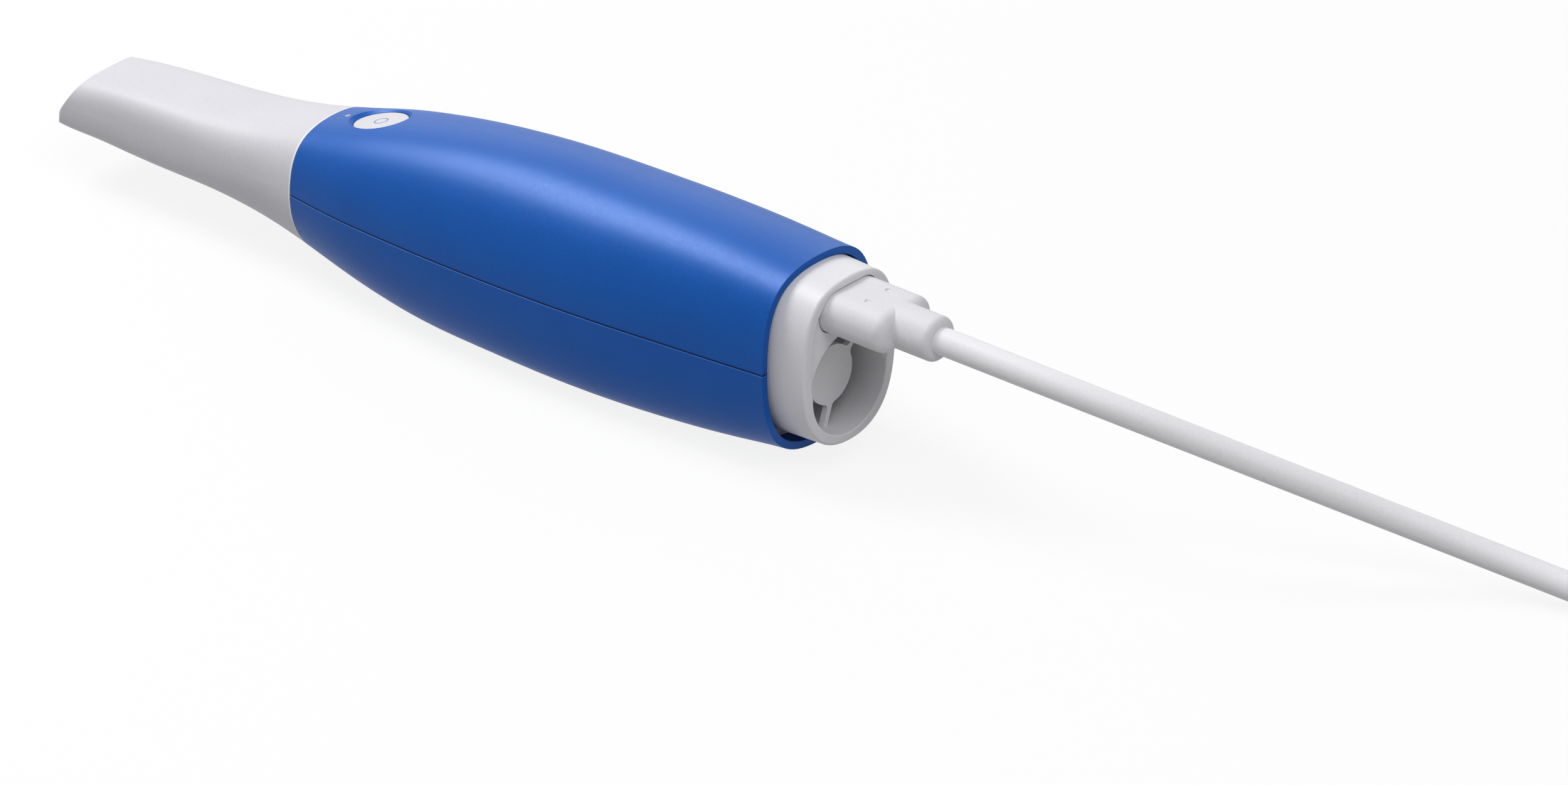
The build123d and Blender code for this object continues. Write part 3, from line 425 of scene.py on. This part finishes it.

# %% [markdown]
# ## The parting line
#
# Where the two housings meet, dust and painted shade darken the gap, and the edge below it
# carries a painted highlight. The gap itself is in the CAD model. This dark and pale line could be
# painted on an unwrapped shell, but the parting faces lie on one sloped plane. So the colour needs
# a single number, the height above that plane, and it follows the gap all round without any
# unwrapping.

# %% Lay one colour over another


def mix_colours(tree, share, first, second):
    """Blend of two colours. A mix node has sockets of each type: 6, 7 and output 2 are colours."""
    return add(tree, "ShaderNodeMix", {0: share, 6: first, 7: second}, data_type="RGBA").outputs[2]


def paint_over(tree, shader, share, colour):
    """Lay a colour over the one that feeds a shader, by a share that varies over the surface."""
    below = shader.inputs["Base Color"].links[0].from_socket
    feed(tree, shader, Base_Color=mix_colours(tree, share, below, colour))


# %% Draw the parting line
PARTING_PLACE = (-0.03775, 0.0, 0.0222)
PARTING_RISE, PARTING_RUN = 4.1 * MM, 139.8 * MM
PARTING_SLOPE = math.atan2(PARTING_RISE, PARTING_RUN)
LINE_REACH = 0.5 * MM
# The pale band is a painted highlight on the edge below the gap; the dark band is dust and painted
# shade in the gap.
PAINTED_EDGE_HIGHLIGHT, DUST_AND_PAINTED_SHADE = linear("#1C63BC"), linear("#04245A")
place = object_place(tree)
from_line = add(tree, "ShaderNodeVectorMath", {0: place, 1: PARTING_PLACE}, operation="SUBTRACT")
height = add(tree, "ShaderNodeVectorMath", {
    0: from_line.outputs[0], 1: (-math.sin(PARTING_SLOPE), 0, math.cos(PARTING_SLOPE)),
}, operation="DOT_PRODUCT")
share = add(tree, "ShaderNodeMapRange", {
    "Value": height.outputs["Value"], "From Min": -LINE_REACH, "From Max": LINE_REACH,
})
# Ramp over the height: painted highlight just below the gap, dust and painted shade in it.
line = ramp(
    tree, share.outputs["Result"],
    (0.10, (*PAINTED_EDGE_HIGHLIGHT[:3], 0)), (0.18, PAINTED_EDGE_HIGHLIGHT), (0.35, PAINTED_EDGE_HIGHLIGHT),
    (0.40, DUST_AND_PAINTED_SHADE), (0.82, DUST_AND_PAINTED_SHADE), (0.92, (*DUST_AND_PAINTED_SHADE[:3], 0)),
)
paint_over(tree, shader, line.outputs["Alpha"], line.outputs["Color"])
dress(blue_lacquer, "upper_housing", "lower_housing")

# %% [markdown]
# ## Pale and white plastics
#
# The tip, the cap, the plugs, the lead and the button look alike from afar, but their plastics
# differ: one goes through steam, some bend, one is touched all day. One grey for all would save
# work, and would look like one moulding. So each has its own grain, gloss and tint.

# %% Plastic of the tip
# The tip is a steam-proof sulphone blend, matt so that it does not dazzle in a bright mouth.
tip_plastic, tree, shader = new_finish("tip_moulded_polysulphone", IOR=1.6, Specular_IOR_Level=0.15)
etched_grain(tree, shader, "#D6D6DB", "#CFCFD5", grain_mm=0.5, rough=0.52, depth_mm=0.008)

# The thin rear rim of the tip carries a painted highlight: a bright band along its edge.
RIM_PLACE = -0.038
RIM_WIDTH = 0.5 * MM
place = object_place(tree)
along = add(tree, "ShaderNodeSeparateXYZ", {0: place})
rim = add(tree, "ShaderNodeMapRange", {
    "Value": along.outputs["X"],
    "From Min": RIM_PLACE - RIM_WIDTH, "From Max": RIM_PLACE - RIM_WIDTH / 2,
})
paint_over(tree, shader, rim.outputs["Result"], linear("#F6F6FA"))
dress(tip_plastic, "tip_sleeve")

# %% Plastics of the rear cap, the plugs and the lead
# The cap is ABS with a finer etch, so its edges carry a clearer highlight.
cap_plastic, tree, shader = new_finish("cap_moulded_abs", IOR=1.53, Specular_IOR_Level=0.17)
etched_grain(tree, shader, "#E3E2E6", "#DCDBDF", grain_mm=0.45, rough=0.42, depth_mm=0.006)
dress(cap_plastic, "rear_cap")

# The plugs are moulded over the cable in a soft elastomer, which is duller than ABS.
plug_plastic, tree, shader = new_finish(
    "plug_overmoulded_elastomer", IOR=1.5, Specular_IOR_Level=0.15)
etched_grain(tree, shader, "#E0DFE3", "#D8D7DC", grain_mm=0.5, rough=0.55, depth_mm=0.010)
dress(plug_plastic, "plug_overmould", "hub_plug")

# The jacket is extruded, so its surface is drawn smooth along the cable and only faintly dull.
jacket, tree, shader = new_finish("lead_extruded_elastomer", IOR=1.5, Specular_IOR_Level=0.15)
etched_grain(tree, shader, "#ECEBEF", "#E6E5E9", grain_mm=0.7, rough=0.5, depth_mm=0.006)
dress(jacket, cable)

# %% White button, its ring and the light pipe
# The button cap is polished a little more than the shells: fingers would wear an etch away.
button_abs, tree, shader = new_finish("button_satin_abs", IOR=1.53, Specular_IOR_Level=0.11)
etched_grain(tree, shader, "#D9D8DC", "#D4D3D7", grain_mm=0.5, rough=0.4, depth_mm=0.002)
dress(button_abs, "scan_button", "switch_plunger")

# Pad-printed ink: even colour, with the small pits that the pad leaves in it.
ink, tree, shader = new_finish("pad_printed_blue_ink", IOR=1.5)
etched_grain(tree, shader, "#3C78C8", "#336DBC", grain_mm=0.3, rough=0.4, depth_mm=0.003)
dress(ink, button_ring)

# Frosted polycarbonate: light from the lamp below spreads in it, so it is milky grey when off.
light_pipe, tree, shader = new_finish("frosted_light_pipe", IOR=1.58, Transmission_Weight=0.25)
etched_grain(tree, shader, "#A9B2C4", "#98A2B6", grain_mm=0.3, rough=0.35, depth_mm=0.004)
dress(light_pipe, "status_light")

# %% [markdown]
# ## Finishes of the inside
#
# Most of the inside shows only when the tip is off or through the air outlet. One black for all
# of it would do for this picture, but each piece still gets the finish of its own material, so
# that the part can be opened up in a lesson.

# %% Dark plastics and rubber
# Glass-filled black plastic: the fibres near the skin leave short pale flecks and a dull gloss.
black_plastic, tree, shader = new_finish(
    "black_glass_filled_plastic", IOR=1.55, Specular_IOR_Level=0.4)
etched_grain(tree, shader, "#26262A", "#1B1B1E", grain_mm=0.6, rough=0.5, depth_mm=0.010)
dress(black_plastic, "nose", "optics_frame", "projector_barrel", "left_camera_barrel",
      "right_camera_barrel", "fan_frame", "fan_rotor", "button_switch", "processor")

# Silicone rubber: dark and dusty, with almost no highlight.
rubber, tree, shader = new_finish("moulded_silicone_rubber", IOR=1.43, Specular_IOR_Level=0.25)
etched_grain(tree, shader, "#323236", "#29292C", grain_mm=0.5, rough=0.7, depth_mm=0.008)
dress(rubber, "nose_seal")

# %% Woven tie
# Hook-and-loop tape: a ribbed weave of nylon with a fuzzy face. A wave texture of scale 1 turns by
# 20 radians in a metre, so 0.9 mm to the radian puts the ribs 5.7 mm apart.
WAVE_RADIANS = 20
RADIAN_MM = 0.9
tie_nylon, tree, shader = new_finish("woven_nylon_tape", IOR=1.53, Roughness=0.8, Sheen_Weight=0.3)
place = object_place(tree)
ribs = add(tree, "ShaderNodeTexWave", {
    "Vector": place, "Scale": per_metre(RADIAN_MM) / WAVE_RADIANS, "Distortion": 1.5,
}, bands_direction="Z")
fuzz = add(tree, "ShaderNodeTexNoise", {"Vector": place, "Scale": per_metre(0.5), "Detail": 3.0})
weave = add(tree, "ShaderNodeMix", {
    "Factor": 0.6, "A": ribs.outputs["Fac"], "B": fuzz.outputs["Fac"],
}).outputs["Result"]
tint = ramp(tree, weave, (0, linear("#26262A")), (1, linear("#45454B")))
lift = add(tree, "ShaderNodeBump", {"Height": weave, "Strength": 0.8, "Distance": 0.1 * MM})
feed(tree, shader, Base_Color=tint.outputs["Color"], Normal=lift.outputs["Normal"])
dress(tie_nylon, coil_tie)

# %% Circuit boards
# Glass-fibre board under green lacquer, through which copper tracks show as paler lines. They are
# the joints of a brick pattern, whose rows are half a unit high, so a unit spans two tracks.
TRACK_MM = 0.8
board, tree, shader = new_finish(
    "lacquered_circuit_board", IOR=1.5, Coat_Weight=0.4, Coat_Roughness=0.15)
place = object_place(tree)
tracks = add(tree, "ShaderNodeTexBrick", {
    "Vector": place, "Scale": per_metre(2 * TRACK_MM),
    "Mortar Size": 0.04, "Brick Width": 3.0, "Row Height": 0.5,
    "Color1": linear("#1C5A34"), "Color2": linear("#17502D"), "Mortar": linear("#2F7A48"),
})
glass_weave = add(tree, "ShaderNodeTexNoise", {"Vector": place, "Scale": per_metre(0.7)})
gloss = add(tree, "ShaderNodeMapRange", {
    "Value": glass_weave.outputs["Fac"], "To Min": 0.3, "To Max": 0.5,
})
lift = add(tree, "ShaderNodeBump", {
    "Height": tracks.outputs["Fac"], "Strength": 0.4, "Distance": 0.03 * MM,
})
feed(tree, shader, Base_Color=tracks.outputs["Color"], Roughness=gloss.outputs["Result"],
     Normal=lift.outputs["Normal"])
dress(board, "main_board", "button_board", "led_board", "left_sensor_board", "right_sensor_board")

# %% Metals
POLISH_SWING = 0.08


def worked_metal(tree, shader, pale, deep, mark_mm, stretch, rough):
    """Marks of working a metal: a noise stretched along X tints it and breaks up its gloss."""
    place = object_place(tree)
    drawn = add(tree, "ShaderNodeMapping", {"Vector": place, "Scale": (1 / stretch, 1, 1)})
    marks = add(tree, "ShaderNodeTexNoise", {
        "Vector": drawn.outputs["Vector"], "Scale": per_metre(mark_mm), "Detail": 3.0,
    }).outputs["Fac"]
    tint = ramp(tree, marks, (0, linear(deep)), (1, linear(pale)))
    gloss = add(tree, "ShaderNodeMapRange", {
        "Value": marks, "To Min": rough - POLISH_SWING, "To Max": rough + POLISH_SWING,
    })
    lift = add(tree, "ShaderNodeBump", {"Height": marks, "Strength": 0.3, "Distance": 0.01 * MM})
    feed(tree, shader, Base_Color=tint.outputs["Color"], Roughness=gloss.outputs["Result"],
         Normal=lift.outputs["Normal"])


# Extruded aluminium, left bright: long faint draw marks along the fins.
aluminium, tree, shader = new_finish("extruded_aluminium", Metallic=1.0)
worked_metal(tree, shader, "#D3D5D8", "#BFC1C5", mark_mm=0.4, stretch=12, rough=0.36)
dress(aluminium, "heat_sink")

# Nickel plate over pressed steel: smooth and faintly warm, with small unevenness from the bath.
nickel, tree, shader = new_finish("nickel_plated_steel", Metallic=1.0)
worked_metal(tree, shader, "#D2CFC8", "#C2BFB8", mark_mm=0.5, stretch=3, rough=0.25)
dress(nickel, "plug_shell", "hub_plug_shell", "usb_socket", "frame_screws", "board_screws",
      "fan_screws")

# %% Glass and mirror
# Coated optical glass: clear, with a very faint unevenness of polish.
glass, tree, shader = new_finish("coated_optical_glass", IOR=1.52, Transmission_Weight=1.0,
                                 Base_Color=linear("#EAF2F8"))
place = object_place(tree)
polish = add(tree, "ShaderNodeTexNoise", {"Vector": place, "Scale": per_metre(3.0)})
gloss = add(tree, "ShaderNodeMapRange", {
    "Value": polish.outputs["Fac"], "To Min": 0.02, "To Max": 0.06,
})
feed(tree, shader, Roughness=gloss.outputs["Result"])
dress(glass, "nose_window", "projector_lens", "left_camera_lens", "right_camera_lens",
      "pattern_slide", "led_dome")

# Front-silvered mirror: a metal face with the faint haze that wiping leaves on it.
mirror, tree, shader = new_finish("front_silvered_mirror", Metallic=1.0)
worked_metal(tree, shader, "#EEF0F2", "#E6E9EC", mark_mm=2.0, stretch=1, rough=0.12)
dress(mirror, "tip_mirror")

# %% [markdown]
# ## Floor, background and light
#
# The picture has a plain white ground. Making it white with more light would wash the scanner
# out, so the floor and the world turn white by themselves where the camera, a reflection or a
# glass looks at them, and light the scanner like a grey room otherwise. Three soft lamps do the
# rest: one above the tip draws the long highlight along the shoulder, one behind gives the top
# its sheen, and one high on the camera's side rounds off the lead. Satin plastic reflects little,
# so the first two have a twin a little farther off that adds to the gloss and leaves the colours
# alone.

# %% Floor
FLOOR_HALF = 6.0
FLOOR_WHITE = 0.86
FLOOR_BOUNCE, FLOOR_SEEN = linear("#B0B0B0"), linear("#F4F4F4")


def seen_share(tree):
    """1 for a ray from the camera, a reflection or a glass, and 0 for a ray that only lights."""
    rays = add(tree, "ShaderNodeLightPath").outputs
    share = rays["Is Camera Ray"]
    for kind in ("Is Glossy Ray", "Is Transmission Ray"):
        either = add(tree, "ShaderNodeMath", {0: share, 1: rays[kind]}, operation="MAXIMUM")
        share = either.outputs[0]
    return share


floor = piece_from_grid("studio_floor", np.array([
    [(-FLOOR_HALF, -FLOOR_HALF, 0.0), (FLOOR_HALF, -FLOOR_HALF, 0.0)],
    [(-FLOOR_HALF, FLOOR_HALF, 0.0), (FLOOR_HALF, FLOOR_HALF, 0.0)],
]))
floor_paint, tree, shader = new_finish("white_studio_floor", Roughness=0.9, Specular_IOR_Level=0.1)
looked_at = seen_share(tree)
paint = mix_colours(tree, looked_at, FLOOR_BOUNCE, FLOOR_SEEN)
feed(tree, shader, Base_Color=paint)
share = add(tree, "ShaderNodeMath", {0: looked_at, 1: FLOOR_WHITE}, operation="MULTIPLY")
white = add(tree, "ShaderNodeEmission", {"Color": (1, 1, 1, 1), "Strength": 1.0})
mix = add(tree, "ShaderNodeMixShader", {
    0: share.outputs[0], 1: shader.outputs[0], 2: white.outputs[0],
})
tree.links.new(mix.outputs[0], tree.nodes["Material Output"].inputs["Surface"])
floor.data.materials.append(floor_paint)

# %% World
ROOM_LIGHT = 0.3
world = bpy.data.worlds.new("white_studio")
world.use_nodes = True
bpy.context.scene.world = world
tree = world.node_tree
level = add(tree, "ShaderNodeMapRange", {
    "Value": seen_share(tree), "To Min": ROOM_LIGHT, "To Max": 1.0,
})
tree.links.new(level.outputs["Result"], tree.nodes["Background"].inputs["Strength"])
tree.nodes["Background"].inputs["Color"].default_value = (1, 1, 1, 1)
print("world lights at", ROOM_LIGHT)

# %% Lamps
LIT_PLACE = Vector((0.05, 0.0, 0.03))
TOWARDS_SHOULDER = (-0.586, -0.12, 0.8)
TOWARDS_SHEEN = (-0.586, 0.672, 0.453)
TOWARDS_CAMERA = (0.5, -0.32, 0.8)


def soft_lamp(name, towards, distance, size, power, only_gloss=False):
    """Square area lamp in the given direction from the scanner, facing it.

    A lamp for gloss alone is seen in reflections, but does not light the colour below them.
    """
    data = bpy.data.lights.new(name, "AREA")
    data.shape = "SQUARE"
    data.size = size
    data.energy = power
    lamp = bpy.data.objects.new(name, data)
    direction = Vector(towards).normalized()
    lamp.location = LIT_PLACE + direction * distance
    lamp.rotation_euler = direction.to_track_quat("Z", "Y").to_euler()
    lamp.visible_diffuse = not only_gloss
    bpy.context.scene.collection.objects.link(lamp)
    print(name, "of", power, "W")


soft_lamp("shoulder_lamp", TOWARDS_SHOULDER, distance=1.3, size=0.55, power=9.6)
soft_lamp("shoulder_gloss", TOWARDS_SHOULDER, distance=1.4, size=0.8, power=22.0, only_gloss=True)
soft_lamp("sheen_lamp", TOWARDS_SHEEN, distance=1.8, size=1.0, power=1.5)
soft_lamp("sheen_gloss", TOWARDS_SHEEN, distance=2.0, size=1.2, power=5.4, only_gloss=True)
soft_lamp("camera_lamp", TOWARDS_CAMERA, distance=1.5, size=0.9, power=9.0)

# %% Set the view transform
bpy.context.scene.view_settings.view_transform = "Standard"
